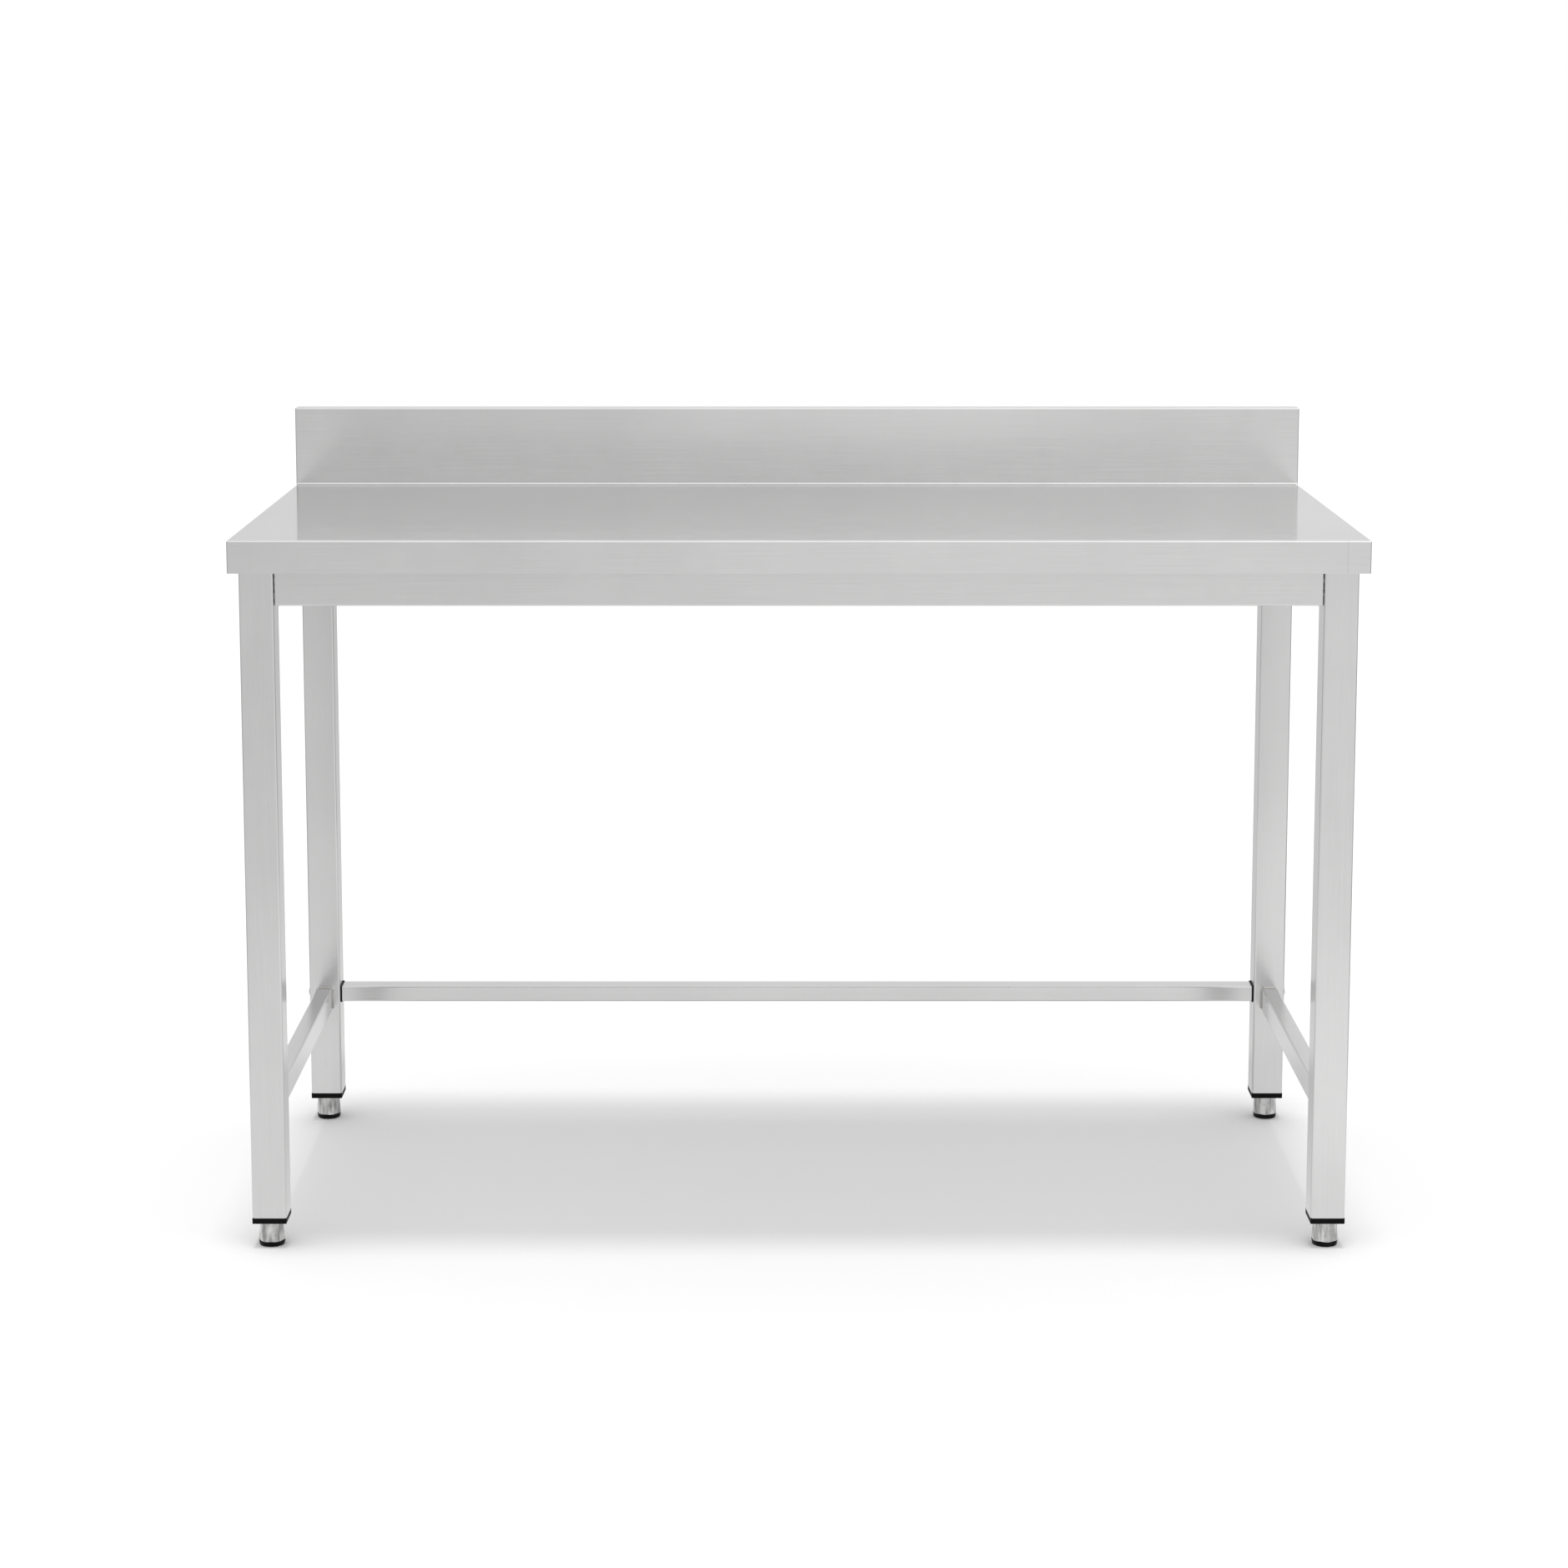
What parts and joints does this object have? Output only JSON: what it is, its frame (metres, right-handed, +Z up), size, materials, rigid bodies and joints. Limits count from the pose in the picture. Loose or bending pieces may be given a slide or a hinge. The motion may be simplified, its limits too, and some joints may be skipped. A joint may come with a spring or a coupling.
{
  "type": "stainless steel work table",
  "caption": "Stainless steel kitchen work table with a rear upstand, square legs, rear and side stretchers and levelling feet that screw in and out.",
  "frame": {"origin": "on the floor, under the middle of the table", "axes": "+X to the right along the worktop as seen from the front, +Y to the back where the upstand is, +Z up"},
  "size_m": [1.3, 0.6, 0.94],
  "materials": {
    "stainless_sheet": "fine brushed stainless steel sheet, grain along the table",
    "stainless_rail": "fine brushed stainless steel, folded",
    "stainless_tube": "fine brushed stainless steel tube, grain along the tube",
    "stainless_sleeve": "drawn stainless steel, dull with faint rub marks",
    "fastener_steel": "plain bright stainless steel fasteners",
    "black_plastic": "moulded black plastic",
    "pad_rubber": "matt black rubber"
  },
  "bodies": {
    "table": {"worktop": "stainless_sheet", "stiffener_left": "stainless_sheet", "stiffener_middle": "stainless_sheet", "stiffener_right": "stainless_sheet", "front_rail": "stainless_rail", "rear_rail": "stainless_rail", "left_rail": "stainless_rail", "right_rail": "stainless_rail", "leg_front_left": "stainless_tube", "leg_front_right": "stainless_tube", "leg_rear_left": "stainless_tube", "leg_rear_right": "stainless_tube", "left_stretcher": "stainless_tube", "right_stretcher": "stainless_tube", "rear_stretcher": "stainless_tube", "stretcher_plug_left": "black_plastic", "stretcher_plug_right": "black_plastic", "leg_rivet_nuts": "fastener_steel", "rail_bolt_washers": "fastener_steel", "rail_bolts": "fastener_steel", "stiffener_nuts": "fastener_steel", "worktop_screw_washers": "fastener_steel", "worktop_screws": "fastener_steel", "stretcher_bolts": "fastener_steel", "stretcher_nuts": "fastener_steel", "foot_insert_front_left": "black_plastic", "foot_nut_front_left": "fastener_steel", "foot_insert_front_right": "black_plastic", "foot_nut_front_right": "fastener_steel", "foot_insert_rear_left": "black_plastic", "foot_nut_rear_left": "fastener_steel", "foot_insert_rear_right": "black_plastic", "foot_nut_rear_right": "fastener_steel"},
    "glide_front_left": {"foot_pad_front_left": "pad_rubber"},
    "foot_front_left": {"foot_core_front_left": "black_plastic", "foot_sleeve_front_left": "stainless_sleeve", "foot_spindle_front_left": "fastener_steel"},
    "glide_front_right": {"foot_pad_front_right": "pad_rubber"},
    "foot_front_right": {"foot_core_front_right": "black_plastic", "foot_sleeve_front_right": "stainless_sleeve", "foot_spindle_front_right": "fastener_steel"},
    "glide_rear_left": {"foot_pad_rear_left": "pad_rubber"},
    "foot_rear_left": {"foot_core_rear_left": "black_plastic", "foot_sleeve_rear_left": "stainless_sleeve", "foot_spindle_rear_left": "fastener_steel"},
    "glide_rear_right": {"foot_pad_rear_right": "pad_rubber"},
    "foot_rear_right": {"foot_core_rear_right": "black_plastic", "foot_sleeve_rear_right": "stainless_sleeve", "foot_spindle_rear_right": "fastener_steel"}
  },
  "joints": [
    {"name": "foot_travel_front_left", "type": "slide", "parent": "table", "child": "glide_front_left", "axis": [0, 0, -1], "range_m": [-0.01, 0.025]},
    {"name": "foot_turn_front_left", "type": "hinge", "parent": "glide_front_left", "child": "foot_front_left", "pos_m": [-0.62, -0.26, 0], "axis": [0, 0, -1], "range_deg": [-2056, 5140]},
    {"name": "foot_travel_front_right", "type": "slide", "parent": "table", "child": "glide_front_right", "axis": [0, 0, -1], "range_m": [-0.01, 0.025]},
    {"name": "foot_turn_front_right", "type": "hinge", "parent": "glide_front_right", "child": "foot_front_right", "pos_m": [0.62, -0.26, 0], "axis": [0, 0, -1], "range_deg": [-2056, 5140]},
    {"name": "foot_travel_rear_left", "type": "slide", "parent": "table", "child": "glide_rear_left", "axis": [0, 0, -1], "range_m": [-0.01, 0.025]},
    {"name": "foot_turn_rear_left", "type": "hinge", "parent": "glide_rear_left", "child": "foot_rear_left", "pos_m": [-0.62, 0.26, 0], "axis": [0, 0, -1], "range_deg": [-2056, 5140]},
    {"name": "foot_travel_rear_right", "type": "slide", "parent": "table", "child": "glide_rear_right", "axis": [0, 0, -1], "range_m": [-0.01, 0.025]},
    {"name": "foot_turn_rear_right", "type": "hinge", "parent": "glide_rear_right", "child": "foot_rear_right", "pos_m": [0.62, 0.26, 0], "axis": [0, 0, -1], "range_deg": [-2056, 5140]}
  ],
  "couplings": [
    {"joint": "foot_travel_front_left", "follows": "foot_turn_front_left", "m_per_rad": 0.00027852},
    {"joint": "foot_travel_front_right", "follows": "foot_turn_front_right", "m_per_rad": 0.00027852},
    {"joint": "foot_travel_rear_left", "follows": "foot_turn_rear_left", "m_per_rad": 0.00027852},
    {"joint": "foot_travel_rear_right", "follows": "foot_turn_rear_right", "m_per_rad": 0.00027852}
  ]
}
